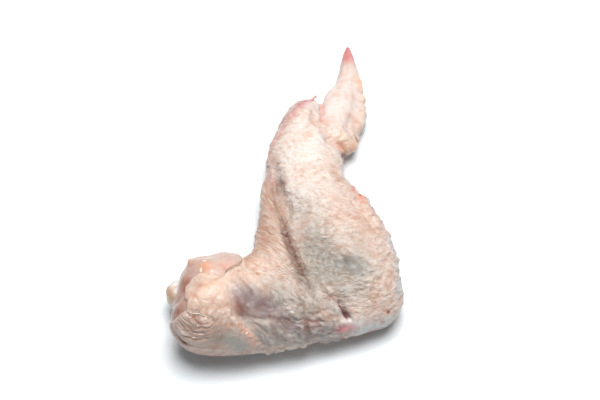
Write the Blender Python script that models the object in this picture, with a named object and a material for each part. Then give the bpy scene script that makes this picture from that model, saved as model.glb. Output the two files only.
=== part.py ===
"""A raw chicken wing of three joints, folded into a V, lying on a flat surface with its outer side up.

The drumette lies along X with its cut shoulder end at -X, the flat forearm runs from the elbow at +X
back to the wrist at +Y, and the wing tip points on to +Y. Three solids: the skin with all the flesh
that it hides, the shoulder muscle that shows at the cut, and the upper arm bone inside that muscle.
"""

import math

import bmesh
import bpy
import numpy as np
from mathutils import Vector, noise

MM = 0.001

# Driving sizes, in millimetres
SKIN_THICKNESS = 2.5
FIT_GAP = 0.3
BONE_SHAFT_RADIUS = 3.2
BONE_HEAD_RADIUS = 5.6
KNIFE_CUT_RADIUS = 45.0
FOLLICLE_SPACING = 4.3
FOLLICLE_HEIGHT = 1.1
LUMP_SIZE = 9.9
LUMP_HEIGHT = 0.6
KNIFE_WAVE_HEIGHT = 1.4
KNIFE_WAVE_TURNS = 9.0
THINNEST_RADIUS = 0.7

# How unevenly the follicles stand: their stray from the row as a share of the spacing, how much of the
# height is always there and how much comes and goes, and over what size that changes.
FOLLICLE_STRAY = 0.45
FOLLICLE_BASE = 0.75
FOLLICLE_UNEVENNESS = 0.9
FOLLICLE_STRAY_SIZE = 7.5

# Folds are pressed into the upper side only. They fade where the skin turns over to the side.
UPPER_SIDE_SLOPE = 2.5
UPPER_SIDE_START = 0.4

# The middle of the wing's footprint in the work drawing's frame, where the part's origin goes.
FOOTPRINT_MIDDLE = (0.0, 53.15, 0.0)

# Mesh fineness, in millimetres and triangles
VOXEL = 1.12
RING_POINTS = 40
RINGS_PER_SPAN = 6
SKIN_TRIANGLES = 9000
MEAT_TRIANGLES = 2000
BONE_TRIANGLES = 500
KNIFE_CUTTER_POINTS = 120
KNIFE_CUTTER_HEIGHTS = (-8.0, 60.0)
FLOOR_CUTTER_SIZE = (300.0, 400.0, 20.0)

# The limbs. Each station is the middle of a cross-section (x, y, z), then its half width, its rise
# above the middle and its drop below the middle, all in millimetres, in the frame of the work drawing.
DRUMETTE = [
    ((-43.6, -1.4, 15.8), 5.4, 5.4, 5.4),
    ((-41.0, -1.4, 16.2), 13.1, 12.6, 12.2),
    ((-34.2, -1.4, 16.7), 18.0, 18.0, 16.5),
    ((-22.5, -1.4, 16.7), 18.9, 18.0, 17.4),
    ((-7.2, -0.9, 15.3), 16.7, 16.2, 16.0),
    ((9.0, 0.5, 13.5), 14.0, 14.0, 14.0),
    ((25.2, 2.7, 12.2), 12.2, 12.2, 12.2),
    ((37.8, 6.3, 11.2), 10.8, 10.3, 11.2),
    ((44.1, 8.6, 10.8), 3.6, 3.6, 3.6),
]
FOREARM = [
    ((36.0, -5.0, 9.5), 4.5, 4.5, 4.5),
    ((33.8, 1.4, 11.2), 11.7, 11.2, 11.2),
    ((29.2, 10.3, 13.1), 16.2, 14.0, 13.1),
    ((23.4, 22.5, 13.5), 18.7, 14.4, 14.0),
    ((16.7, 40.5, 13.1), 17.1, 13.5, 13.5),
    ((10.3, 54.9, 12.2), 15.1, 12.6, 12.2),
    ((7.2, 69.3, 11.2), 12.8, 11.7, 11.2),
    ((6.8, 81.0, 10.3), 9.9, 10.3, 10.3),
    ((8.3, 89.5, 9.5), 7.0, 7.7, 8.6),
    ((10.8, 95.0, 9.0), 2.7, 2.7, 3.1),
]
HAND = [
    ((11.7, 69.3, 9.5), 4.5, 5.4, 6.3),
    ((17.1, 77.4, 8.6), 9.7, 8.6, 8.6),
    ((21.4, 89.1, 7.2), 8.8, 7.2, 7.2),
    ((24.5, 100.4, 6.1), 6.7, 6.1, 6.1),
    ((25.7, 108.5, 5.2), 5.2, 4.9, 5.2),
    ((25.7, 115.7, 4.5), 3.6, 4.0, 4.5),
    ((25.6, 121.5, 4.1), 2.4, 2.9, 3.2),
    ((25.4, 126.9, 4.0), 0.9, 1.1, 1.1),
]
HAND_FRILL = [
    ((28.8, 108.5, 5.0), 0.9, 0.9, 0.9),
    ((29.5, 103.5, 5.0), 1.8, 2.2, 2.7),
    ((30.0, 95.4, 5.4), 2.2, 2.9, 3.2),
    ((29.2, 86.4, 6.3), 2.7, 3.4, 4.1),
    ((26.6, 78.8, 7.2), 3.2, 4.1, 5.4),
    ((22.5, 73.4, 7.2), 1.8, 1.8, 1.8),
]
WEB = [
    ((1.4, 75.6, 11.7), 3.6, 3.6, 4.5),
    ((-0.5, 61.2, 12.6), 8.6, 5.4, 8.1),
    ((0.5, 45.0, 13.1), 10.8, 5.9, 9.5),
    ((0.0, 32.4, 14.0), 11.7, 6.8, 9.9),
    ((-3.1, 21.2, 14.8), 12.6, 9.5, 10.3),
    ((-9.9, 10.8, 16.2), 11.7, 12.2, 10.8),
    ((-19.8, 2.7, 17.1), 7.2, 7.2, 7.2),
]
WEB_ROOT = [
    ((12.6, -1.8, 12.6), 7.2, 7.2, 7.2),
    ((10.8, 4.5, 12.6), 13.5, 13.1, 9.0),
    ((6.3, 13.5, 12.2), 13.5, 11.7, 8.1),
    ((2.2, 24.3, 11.7), 9.9, 9.5, 7.2),
    ((-0.5, 37.8, 11.2), 6.3, 6.3, 5.4),
    ((-1.4, 46.8, 11.2), 2.2, 2.7, 2.7),
]
# The bulging shoulder muscle: the middle and the half lengths of each lobe.
MUSCLE_LOBES = [
    ((-27.0, 5.4, 19.8), (14.4, 13.1, 13.1)),
    ((-32.9, -3.6, 17.6), (9.5, 9.9, 11.7)),
    ((-31.9, 0.5, 10.3), (9.0, 9.5, 8.6)),
    ((-22.1, 9.9, 9.9), (11.7, 8.1, 8.1)),
]
MUSCLE_CORE_END = 19.8
MUSCLE_CORE_BULGE = 3.1
MUSCLE_END_SHARE = 0.35
KNIFE_CUT_CENTRE = (-58.0, 32.5)
HUMERUS_HEAD = (-39.6, 5.9, 10.8)
HUMERUS_INNER_END = (9.0, 1.4, 12.6)
# The swelling of the shaft at shares of its length, and the two knuckles at its head.
BONE_SWELL = [(0.0, 1.6), (0.1, 1.35), (0.25, 1.05), (0.6, 0.95), (0.95, 0.9), (1.0, 0.3)]
BONE_KNUCKLES = [((-0.5, 0.9, 1.4), 1.0), ((0.0, -0.9, -2.2), 0.85)]

# Folds in the skin, seen from above: the points of each line, its depth and its half width.
FOREARM_FOLD = (
    [(-5.4, 59.4), (-3.1, 48.6), (0.0, 36.9), (2.2, 27.0), (5.0, 18.0), (8.6, 8.1), (13.5, 0.0), (18.9, -3.6)],
    2.0,
    2.5,
)
ELBOW_DIMPLE = ([(21.6, -0.9), (23.4, -6.3)], 2.2, 2.1)
THUMB_FOLD = ([(14.0, 91.8), (13.1, 87.3), (11.2, 81.0)], 1.6, 1.6)
WRIST_CORNER = ([(22.1, 71.1), (18.0, 73.4)], 1.8, 2.2)
HAND_FOLD = ([(28.4, 107.1), (28.6, 97.2), (27.7, 87.3), (24.8, 80.1)], 1.2, 1.4)
SHOULDER_FOLD = ([(-19.8, -4.5), (-17.6, -10.3), (-12.6, -14.0), (-7.2, -16.2)], 1.2, 2.0)
FOLDS = [FOREARM_FOLD, ELBOW_DIMPLE, THUMB_FOLD, WRIST_CORNER, HAND_FOLD, SHOULDER_FOLD]

# The feather follicle rows that stand out as teeth on the trailing edges: each line, and how far from
# it the teeth reach into the skin.
FOLLICLE_ROWS = [
    ([(42.3, 10.8), (43.6, 22.5), (39.6, 34.2), (34.6, 43.2), (29.2, 52.2), (24.3, 62.1)], 9.0),
    ([(26.6, 75.6), (30.2, 83.7), (31.9, 94.5), (30.4, 106.2)], 4.5),
    ([(27.0, -7.2), (16.2, -10.8), (3.1, -14.8), (-8.1, -17.1)], 4.0),
]
# Where the skin is stretched smooth between drumette and forearm.
WEBBING_MIDDLE = (2.7, 13.5)
WEBBING_RADIUS = 21.6

SKIN_COLOUR = (0.83, 0.62, 0.53, 1.0)
MEAT_COLOUR = (0.78, 0.47, 0.41, 1.0)
BONE_COLOUR = (0.90, 0.82, 0.72, 1.0)


def clear_scene():
    for obj in list(bpy.data.objects):
        bpy.data.objects.remove(obj, do_unlink=True)


def principled(name, colour, roughness):
    material = bpy.data.materials.new(name)
    material.use_nodes = True
    shader = material.node_tree.nodes["Principled BSDF"]
    shader.inputs["Base Color"].default_value = colour
    shader.inputs["Roughness"].default_value = roughness
    shader.inputs["Metallic"].default_value = 0.0
    return material


def object_from(bm, name):
    bmesh.ops.recalc_face_normals(bm, faces=bm.faces)
    mesh = bpy.data.meshes.new(name)
    bm.to_mesh(mesh)
    bm.free()
    obj = bpy.data.objects.new(name, mesh)
    bpy.context.scene.collection.objects.link(obj)
    return obj


def between(a, b, c, d, t):
    """The Catmull-Rom curve from b to c."""
    return 0.5 * (2 * b + (c - a) * t + (2 * a - 5 * b + 4 * c - d) * t**2 + (3 * b - a - 3 * c + d) * t**3)


def smooth_line(values):
    """Rows of numbers read from a smooth curve through the given rows."""
    rows = np.array(values, float)
    padded = np.vstack([2 * rows[0] - rows[1], rows, 2 * rows[-1] - rows[-2]])
    line = [
        between(*padded[i : i + 4], step / RINGS_PER_SPAN)
        for i in range(len(rows) - 1)
        for step in range(RINGS_PER_SPAN)
    ]
    return np.array([*line, rows[-1]])


def add_limb(bm, stations, thinner=0.0):
    """Lofts a closed limb through its stations, in millimetres, with every radius thinner by the given amount."""
    rows = smooth_line([[*middle, width, rise, drop] for middle, width, rise, drop in stations])
    middles = [Vector(row[:3]) for row in rows]
    rings = []
    for i, row in enumerate(rows):
        along = (middles[min(i + 1, len(rows) - 1)] - middles[max(i - 1, 0)]).normalized()
        side = along.cross(Vector((0, 0, 1))).normalized()
        up = side.cross(along)
        width, rise, drop = (max(radius - thinner, THINNEST_RADIUS) for radius in row[3:])
        ring = []
        for step in range(RING_POINTS):
            angle = 2 * math.pi * step / RING_POINTS
            height = math.sin(angle)
            lift = height * (rise if height > 0 else drop)
            ring.append(bm.verts.new(middles[i] + side * (width * math.cos(angle)) + up * lift))
        rings.append(ring)
    for ring, following in zip(rings, rings[1:]):
        bmesh.ops.bridge_loops(bm, edges=ring_edges(bm, ring) + ring_edges(bm, following))
    bm.faces.new(rings[0])
    bm.faces.new(rings[-1])


def ring_edges(bm, ring):
    edges = []
    for first, second in zip(ring, ring[1:] + ring[:1]):
        edges.append(bm.edges.get((first, second)) or bm.edges.new((first, second)))
    return edges


def add_ellipsoid(bm, middle, half_lengths, bigger=0.0):
    """A lobe of flesh or bone with these half lengths."""
    made = bmesh.ops.create_uvsphere(bm, u_segments=32, v_segments=20, radius=1.0)
    for vert in made["verts"]:
        stretched = [c * (half + bigger) for c, half in zip(vert.co, half_lengths)]
        vert.co = Vector(middle) + Vector(stretched)


def evaluated_mesh(obj):
    bpy.context.view_layer.update()
    graph = bpy.context.evaluated_depsgraph_get()
    return bpy.data.meshes.new_from_object(obj.evaluated_get(graph))


def settle(obj):
    """Applies the modifiers of an object."""
    mesh = evaluated_mesh(obj)
    obj.modifiers.clear()
    obj.data = mesh


def grow_together(obj, rounds):
    """Fuses overlapping limbs into one surface and lets it drape over the joins."""
    remesh = obj.modifiers.new("fuse", "REMESH")
    remesh.mode = "VOXEL"
    remesh.voxel_size = VOXEL
    drape = obj.modifiers.new("drape", "SMOOTH")
    drape.factor = 0.5
    drape.iterations = rounds
    settle(obj)


def stretch_webbing(obj, rounds):
    """Draws the skin smooth over the crotch between the drumette and the forearm."""
    points, _ = points_and_normals(obj.data)
    distance = np.linalg.norm(points[:, :2] - WEBBING_MIDDLE, axis=1)
    group = obj.vertex_groups.new(name="webbing")
    for i, weight in enumerate(np.clip(2 - 2 * distance / WEBBING_RADIUS, 0, 1)):
        if weight > 0:
            group.add([i], float(weight), "REPLACE")
    stretch = obj.modifiers.new("stretch", "SMOOTH")
    stretch.factor = 0.5
    stretch.iterations = rounds
    stretch.vertex_group = group.name
    settle(obj)
    obj.vertex_groups.clear()


def thin_out(obj, triangles):
    decimate = obj.modifiers.new("thin_out", "DECIMATE")
    obj.data.calc_loop_triangles()
    decimate.ratio = min(1.0, triangles / len(obj.data.loop_triangles))
    decimate.use_collapse_triangulate = True
    settle(obj)


def points_and_normals(mesh):
    points = np.empty(len(mesh.vertices) * 3)
    mesh.vertices.foreach_get("co", points)
    normals = np.empty(len(mesh.vertices) * 3)
    mesh.vertex_normals.foreach_get("vector", normals)
    return points.reshape(-1, 3), normals.reshape(-1, 3)


def nearest_on_line(points, line):
    """For each point seen from above: its distance to the line, and how far along the line it lies."""
    best = np.full(len(points), 1e9)
    along = np.zeros(len(points))
    travelled = 0.0
    for start, end in zip(np.array(line[:-1], float), np.array(line[1:], float)):
        span = end - start
        length = np.linalg.norm(span)
        share = np.clip((points[:, :2] - start) @ span / length**2, 0, 1)
        distance = np.linalg.norm(points[:, :2] - start - share[:, None] * span, axis=1)
        closer = distance < best
        best = np.where(closer, distance, best)
        along = np.where(closer, travelled + share * length, along)
        travelled += length
    return best, along


def fold_depth(points, normals):
    """How far the folds pull the upper skin in."""
    facing_up = np.clip(normals[:, 2] * UPPER_SIDE_SLOPE + UPPER_SIDE_START, 0, 1)
    depth = np.zeros(len(points))
    for line, deep, half_width in FOLDS:
        distance, _ = nearest_on_line(points, line)
        depth = np.maximum(depth, deep * np.exp(-((distance / half_width) ** 2)))
    return depth * facing_up


def wander(points, size, seed):
    """A smooth random value from about -1 to 1 for each point, which changes over the given size."""
    offset = Vector((seed * 17.3, seed * 5.1, seed * 9.7))
    return np.array([noise.noise(Vector(p) / size + offset) for p in points])


def teeth_height(points):
    """How far the follicle rows stand out along the trailing edges, no two alike."""
    height = np.zeros(len(points))
    stray = wander(points, FOLLICLE_STRAY_SIZE, 1)
    strength = wander(points, FOLLICLE_STRAY_SIZE, 2)
    for line, reach in FOLLICLE_ROWS:
        distance, along = nearest_on_line(points, line)
        phase = along / FOLLICLE_SPACING + FOLLICLE_STRAY * stray
        wave = 0.5 + 0.5 * np.cos(2 * math.pi * phase)
        uneven = FOLLICLE_BASE + FOLLICLE_UNEVENNESS * strength
        height += FOLLICLE_HEIGHT * wave * uneven * np.exp(-((distance / reach) ** 2))
    return height


def add_relief(obj):
    points, normals = points_and_normals(obj.data)
    lumps = LUMP_HEIGHT * wander(points, LUMP_SIZE, 3)
    shift = teeth_height(points) + lumps - fold_depth(points, normals)
    obj.data.vertices.foreach_set("co", (points + normals * shift[:, None]).ravel())
    obj.data.update()


def helper(obj):
    """Marks a cutter, which isn't a part of the wing."""
    obj.hide_render = True
    obj.display_type = "WIRE"
    return obj


def cut(obj, cutter):
    boolean = obj.modifiers.new(cutter.name, "BOOLEAN")
    boolean.operation = "DIFFERENCE"
    boolean.solver = "EXACT"
    boolean.object = cutter
    settle(obj)


def floor_cutter():
    """Everything below the flat patches that the wing lies on."""
    width, depth, thickness = FLOOR_CUTTER_SIZE
    bm = bmesh.new()
    bmesh.ops.create_cube(bm, size=1.0)
    bmesh.ops.scale(bm, verts=bm.verts, vec=(width, depth, thickness))
    bmesh.ops.translate(bm, verts=bm.verts, vec=(0, FOOTPRINT_MIDDLE[1], -thickness / 2))
    return helper(object_from(bm, "floor_cutter"))


def knife_cutter(name, held_back=0.0):
    """The round sweep of the knife that freed the shoulder, with the wavy edge that it leaves in the skin."""
    bm = bmesh.new()
    bottom, top = [], []
    for step in range(KNIFE_CUTTER_POINTS):
        angle = 2 * math.pi * step / KNIFE_CUTTER_POINTS
        turn = Vector((math.cos(angle), math.sin(angle), 0)) * KNIFE_WAVE_TURNS
        radius = KNIFE_CUT_RADIUS - held_back + KNIFE_WAVE_HEIGHT * noise.noise(turn)
        for loop, height in zip((bottom, top), KNIFE_CUTTER_HEIGHTS):
            x = KNIFE_CUT_CENTRE[0] + radius * math.cos(angle)
            y = KNIFE_CUT_CENTRE[1] + radius * math.sin(angle)
            loop.append(bm.verts.new((x, y, height)))
    bmesh.ops.bridge_loops(bm, edges=ring_edges(bm, bottom) + ring_edges(bm, top))
    bm.faces.new(bottom)
    bm.faces.new(top)
    return helper(object_from(bm, name))


def muscle_stations():
    """The drumette's own stations as far as the muscle core reaches, closed by a rounded end."""
    inside = [station for station in DRUMETTE if station[0][0] < MUSCLE_CORE_END]
    (_, y, z), *radii = inside[-1]
    end = ((MUSCLE_CORE_END, y, z), *(radius * MUSCLE_END_SHARE for radius in radii))
    return [*inside, end]


def make_meat():
    """The muscle round the bone: a core cut by the knife, and the lobes that bulge out of the cut."""
    bm = bmesh.new()
    add_limb(bm, muscle_stations(), thinner=SKIN_THICKNESS)
    core = object_from(bm, "core")
    cut(core, knife_cutter("knife_on_muscle", MUSCLE_CORE_BULGE))
    bm = bmesh.new()
    bm.from_mesh(core.data)
    helper(core)
    for middle, half_lengths in MUSCLE_LOBES:
        add_ellipsoid(bm, middle, half_lengths)
    meat = object_from(bm, "meat")
    grow_together(meat, rounds=4)
    thin_out(meat, MEAT_TRIANGLES)
    return meat


def make_bone():
    """The upper arm bone: a knuckle of two lobes on a shaft that flares towards it."""
    bm = bmesh.new()
    head, inner = Vector(HUMERUS_HEAD), Vector(HUMERUS_INNER_END)
    stations = []
    for share, swell in BONE_SWELL:
        radius = BONE_SHAFT_RADIUS * swell
        stations.append((tuple(head.lerp(inner, share)), radius, radius, radius))
    add_limb(bm, stations)
    for offset, size in BONE_KNUCKLES:
        add_ellipsoid(bm, head + Vector(offset), [BONE_HEAD_RADIUS * size] * 3)
    bone = object_from(bm, "bone")
    grow_together(bone, rounds=3)
    thin_out(bone, BONE_TRIANGLES)
    return bone


def room_for(part):
    """A cutter that leaves the fitting gap all round a part."""
    room = bpy.data.objects.new("room_for_" + part.name, part.data.copy())
    bpy.context.scene.collection.objects.link(room)
    swell = room.modifiers.new("gap", "DISPLACE")
    swell.mid_level = 0.0
    swell.strength = FIT_GAP
    settle(room)
    return helper(room)


def make_skin():
    bm = bmesh.new()
    for stations in (DRUMETTE, FOREARM, HAND, HAND_FRILL, WEB, WEB_ROOT):
        add_limb(bm, stations)
    for middle, half_lengths in MUSCLE_LOBES:
        add_ellipsoid(bm, middle, half_lengths, bigger=SKIN_THICKNESS)
    skin = object_from(bm, "skin")
    grow_together(skin, rounds=9)
    stretch_webbing(skin, rounds=60)
    add_relief(skin)
    thin_out(skin, SKIN_TRIANGLES)
    return skin


def stand_on_origin(part):
    """Moves a part from the work drawing's frame to the middle of the wing's footprint, in metres."""
    points, _ = points_and_normals(part.data)
    part.data.vertices.foreach_set("co", ((points - FOOTPRINT_MIDDLE) * MM).ravel())
    part.data.update()


def main():
    clear_scene()
    floor, knife = floor_cutter(), knife_cutter("knife_on_skin")

    bone = make_bone()
    meat = make_meat()
    skin = make_skin()
    cut(skin, floor)
    cut(skin, knife)
    cut(skin, room_for(meat))
    cut(meat, room_for(bone))

    parts = [skin, meat, bone]
    looks = [
        principled("raw_skin", SKIN_COLOUR, 0.45),
        principled("raw_meat", MEAT_COLOUR, 0.35),
        principled("bone_cartilage", BONE_COLOUR, 0.4),
    ]
    for part, look in zip(parts, looks):
        stand_on_origin(part)
        part.data.materials.clear()
        part.data.materials.append(look)
        part.data.shade_smooth()
    for obj in list(bpy.data.objects):
        if obj.hide_render:
            bpy.data.objects.remove(obj, do_unlink=True)


main()
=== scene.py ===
"""The looks of a raw chicken wing, folded into a V on a pale surface.

The skin, the shoulder meat and the bone are each modelled anew over a copy of their solid: the copy is
remeshed finely and then sculpted in code, with the scale-like bumps of the feather rows, the wrinkles
of the web, folds, follicles and muscle fibres. Threads of sinew and small bits of fat lie on them.
Places are in millimetres in the part's own frame, and turn into metres where a mesh is written.
"""

import math

import bpy
import numpy as np
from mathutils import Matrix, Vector, noise
from mathutils.bvhtree import BVHTree


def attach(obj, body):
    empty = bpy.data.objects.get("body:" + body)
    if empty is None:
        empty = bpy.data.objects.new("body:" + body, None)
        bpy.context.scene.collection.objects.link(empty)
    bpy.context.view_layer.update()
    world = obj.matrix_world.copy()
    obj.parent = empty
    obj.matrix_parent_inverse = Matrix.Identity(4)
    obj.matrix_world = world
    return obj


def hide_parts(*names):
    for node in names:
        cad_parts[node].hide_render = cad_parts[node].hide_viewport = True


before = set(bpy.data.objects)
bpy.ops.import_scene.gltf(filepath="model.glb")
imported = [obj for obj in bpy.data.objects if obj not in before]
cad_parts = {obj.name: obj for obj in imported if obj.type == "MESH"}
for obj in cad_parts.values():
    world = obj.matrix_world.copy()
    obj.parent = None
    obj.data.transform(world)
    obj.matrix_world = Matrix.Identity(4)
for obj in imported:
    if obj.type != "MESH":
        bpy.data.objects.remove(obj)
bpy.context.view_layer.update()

# A millimetre in metres
MM = 0.001

# Fineness of the modelled surfaces in millimetres, and the triangles that the skin is brought down to
SKIN_VOXEL = 0.43
MEAT_VOXEL = 0.6
BONE_VOXEL = 0.5
SKIN_TRIANGLES = 190000

# In millimetres: how near the skin's hidden lining lies to the muscle, how thin a fold may leave the skin,
# and how far it is sunk over the bare strip of muscle.
LINING_GAP = 0.9
THINNEST_SKIN = 1.3
SUNK_DEPTH = 3.4

# The height in the skin's relief that lies on the solid's surface: grooves are lower and crests higher.
RELIEF_LEVEL = 0.3

# A pad that is draped over a surface, in millimetres: the step of its grid, how far the grid and then the
# pad reach past its outline, and from how far it is dropped.
PAD_STEP = 0.6
PAD_MARGIN = 1
PAD_RIM = 0.8
PAD_DROP = 200

# The tongue of skin at the cut, in millimetres: its height at its edge and in its middle, how much it rises
# for each millimetre inwards, and its thickness.
TONGUE_EDGE = 0.3
TONGUE_TOP = 2.9
TONGUE_SLOPE = 1.4
TONGUE_THICKNESS = 3.4

# Points lower than this, in millimetres, rest on the table and aren't pulled up.
RESTING_HEIGHT = 0.2

# In millimetres: how far threads and bits of fat lie above the surface, how far a thread's last point is
# sunk into it, and the radii of the pin feather in its middle and at its ends.
SMALL_LIFT = 0.05
THREAD_SINK = 0.1
FEATHER_RADII = (0.34, 0.5)

# The camera stands where the photographer did: looking down at 60 degrees, square to the drumette.
CAMERA_TARGET = (5.85, -5.45, 13.5)
CAMERA_DISTANCE = 900.0
CAMERA_ELEVATION = math.radians(60.0)
PIXELS_PER_MM = 2.3 / 0.9
IMAGE_WIDTH = 600

# The directions from the wing to the photographer, and up in the photographer's view
TO_CAMERA = np.array([0.0, -math.cos(CAMERA_ELEVATION), math.sin(CAMERA_ELEVATION)])
UP_IN_VIEW = np.array([0.0, TO_CAMERA[2], -TO_CAMERA[1]])

# The light hangs over the wing: its place and its width in metres, and its power in watts.
LIGHT_PLACE = (0.06, 0.08, 1.08)
LIGHT_WIDTH = 0.6
LIGHT_POWER = 15.5

# The weak light from all round is a little blue, which keeps the shadow of the pink wing grey.
FILL_COLOUR = (0.8, 1.0, 1.1, 1.0)
FILL_STRENGTH = 0.1
TABLE_WIDTH = 6.0

# The two ends of the forearm, seen from above
ELBOW = (33.0, -51.0)
WRIST = (8.3, 36.4)

# The crease between the forearm and the web, seen from above, from wrist to elbow.
WEB_CREASE = [
    (-6.3, 8.0), (-4.3, -1.9), (-2.5, -11.8), (-1.2, -15.7), (0.5, -24.1), (3.2, -32.1), (5.9, -39.5),
    (8.0, -48.1), (9.6, -51.2), (11.9, -54.2), (14.1, -57.6), (16.4, -59.7), (19.5, -62.5),
]

# The edge that the knife left on the skin, over the shoulder muscle: the tongue of skin and fat that lies
# over the muscle, and the strip of muscle beside it that stays bare.
SKIN_TONGUE = [
    (-26.5, -49.5, 33.0), (-28.0, -50.0, 32.6), (-31.5, -48.7, 32.1), (-34.0, -50.6, 30.7),
    (-36.1, -52.4, 28.8), (-36.2, -56.5, 31.0), (-35.7, -60.4, 33.0), (-31.0, -61.0, 34.5),
    (-25.0, -56.0, 34.8), (-23.0, -52.0, 34.4),
]
BARE_STRIP = [
    (-39.0, -50.0, 24.0), (-36.6, -53.0, 28.0), (-36.3, -57.0, 31.0), (-35.9, -60.4, 33.0),
    (-36.4, -63.6, 31.7), (-39.3, -64.5, 28.5), (-41.1, -64.8, 25.1), (-44.0, -64.0, 20.0),
    (-46.0, -58.0, 17.0), (-43.0, -50.0, 17.0),
]


def colour(code):
    """An sRGB hex colour as the linear RGBA that the shaders take."""
    values = [int(code[i : i + 2], 16) / 255 for i in (1, 3, 5)]
    linear = [v / 12.92 if v <= 0.04045 else ((v + 0.055) / 1.055) ** 2.4 for v in values]
    return (*linear, 1.0)


# Modelling tools

def make_active(obj):
    bpy.ops.object.select_all(action="DESELECT")
    obj.select_set(True)
    bpy.context.view_layer.objects.active = obj


def apply_modifier(obj, kind, **settings):
    make_active(obj)
    modifier = obj.modifiers.new(kind.lower(), kind)
    for key, value in settings.items():
        setattr(modifier, key, value)
    bpy.ops.object.modifier_apply(modifier=modifier.name)


def copy_of_node(node, name):
    """A new piece with the solid's own mesh, its loose triangles merged."""
    obj = bpy.data.objects.new(name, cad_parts[node].data.copy())
    bpy.context.scene.collection.objects.link(obj)
    obj.data.materials.clear()
    make_active(obj)
    bpy.ops.object.mode_set(mode="EDIT")
    bpy.ops.mesh.select_all(action="SELECT")
    bpy.ops.mesh.remove_doubles(threshold=MM / 1000)
    bpy.ops.object.mode_set(mode="OBJECT")
    return obj


def refine(obj, voxel, rounds):
    """Turns a coarse mesh into a fine even one, with its facets smoothed out."""
    apply_modifier(obj, "REMESH", mode="VOXEL", voxel_size=voxel * MM)
    apply_modifier(obj, "SMOOTH", factor=0.5, iterations=rounds)
    obj.data.shade_smooth()


def flat_view(points):
    """Points as the photographer saw them: millimetres to the right and up, square to the line of sight."""
    return np.stack([points[:, 0], points @ UP_IN_VIEW], axis=1)


def gap_to(places, start, end):
    """How far each place lies from the straight line between two places."""
    span = end - start
    away = places - start
    share = np.clip(away @ span / (span @ span), 0, 1)
    return np.linalg.norm(away - share[:, None] * span, axis=1)


def inside(places, outline):
    """Millimetres inside an outline of flat places, negative outside it."""
    gap = np.full(len(places), 1e9)
    within = np.zeros(len(places), bool)
    for start, end in zip(outline, np.roll(outline, -1, axis=0)):
        span = end - start
        gap = np.minimum(gap, gap_to(places, start, end))
        crosses = (start[1] > places[:, 1]) != (end[1] > places[:, 1])
        with np.errstate(divide="ignore", invalid="ignore"):
            crossing = start[0] + span[0] * (places[:, 1] - start[1]) / span[1]
        within ^= crosses & (places[:, 0] < crossing)
    return np.where(within, gap, -gap)


def solid_tree(node):
    """A solid's surface, in millimetres, for finding the places on it."""
    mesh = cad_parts[node].data
    return BVHTree.FromPolygons([vertex.co / MM for vertex in mesh.vertices], faces_of(mesh))


def piece_tree(obj):
    """A modelled piece's surface, in millimetres, for finding the places on it."""
    return BVHTree.FromPolygons(surface_of(obj)[0].tolist(), faces_of(obj.data))


def faces_of(mesh):
    return [list(face.vertices) for face in mesh.polygons]


def draped(name, outline, tree, lift, thickness):
    """A pad over the part of a surface within an outline, with its top lifted by lift(millimetres inside)."""
    outline = flat_view(np.array(outline))
    low, high = outline.min(axis=0) - PAD_MARGIN, outline.max(axis=0) + PAD_MARGIN
    steps = [int(size / PAD_STEP) for size in high - low]
    bpy.ops.object.select_all(action="DESELECT")
    bpy.ops.mesh.primitive_grid_add(x_subdivisions=steps[0], y_subdivisions=steps[1], size=1)
    pad = bpy.context.object
    pad.name = name
    missed = []
    for vertex in pad.data.vertices:
        place = low + (np.array(vertex.co[:2]) + 0.5) * (high - low)
        depth = inside(place[None], outline)[0]
        start = np.array([place[0], 0.0, 0.0]) + UP_IN_VIEW * place[1] + TO_CAMERA * PAD_DROP
        found = tree.ray_cast(Vector(start), Vector(-TO_CAMERA))[0]
        if found is None or depth < -PAD_RIM:
            missed.append(vertex.index)
            continue
        vertex.co = (found + Vector(TO_CAMERA) * lift(depth)) * MM
    delete_points(pad, missed)
    apply_modifier(pad, "SOLIDIFY", thickness=thickness * MM, offset=-1.0)
    return pad


def delete_points(obj, indices):
    make_active(obj)
    bpy.ops.object.mode_set(mode="EDIT")
    bpy.ops.mesh.select_all(action="DESELECT")
    bpy.ops.object.mode_set(mode="OBJECT")
    for index in indices:
        obj.data.vertices[index].select = True
    bpy.ops.object.mode_set(mode="EDIT")
    bpy.ops.mesh.select_mode(type="VERT")
    bpy.ops.mesh.delete(type="VERT")
    bpy.ops.object.mode_set(mode="OBJECT")


def merge_into(obj, other):
    make_active(obj)
    other.select_set(True)
    bpy.ops.object.join()


def over_muscle(points, normals, tree):
    """How far each point of the skin lies from the muscle, and whether it is on the lining round it."""
    distance = np.empty(len(points))
    lining = np.empty(len(points), bool)
    for index, (place, normal) in enumerate(zip(points, normals)):
        nearest, _, _, gap = tree.find_nearest(Vector(place))
        distance[index] = gap
        lining[index] = gap < LINING_GAP and (place - nearest) @ normal < 0
    return distance, lining


def thin_where(obj, hidden, triangles):
    """Makes the mesh coarser where it is hidden, down to a number of triangles in all."""
    group = obj.vertex_groups.new(name="hidden")
    group.add(np.flatnonzero(hidden).tolist(), 1.0, "REPLACE")
    count = 2 * len(obj.data.polygons)
    ratio = min(1.0, triangles / count)
    apply_modifier(obj, "DECIMATE", ratio=ratio, vertex_group=group.name, use_collapse_triangulate=True)
    obj.vertex_groups.clear()


def surface_of(obj):
    """The points of a piece in millimetres, and its normals."""
    mesh = obj.data
    points = np.empty(len(mesh.vertices) * 3)
    mesh.vertices.foreach_get("co", points)
    normals = np.empty(len(mesh.vertices) * 3)
    mesh.vertex_normals.foreach_get("vector", normals)
    return points.reshape(-1, 3) / MM, normals.reshape(-1, 3)


def move_points(obj, points):
    """Puts the points of a piece at places in millimetres."""
    obj.data.vertices.foreach_set("co", (points * MM).ravel())
    obj.data.update()


def raise_surface(obj, height):
    """Moves each point out along its normal by its height in millimetres, and never through the floor."""
    points, normals = surface_of(obj)
    moved = points + normals * height[:, None]
    moved[:, 2] = np.maximum(moved[:, 2], 0.0)
    move_points(obj, moved)


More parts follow.
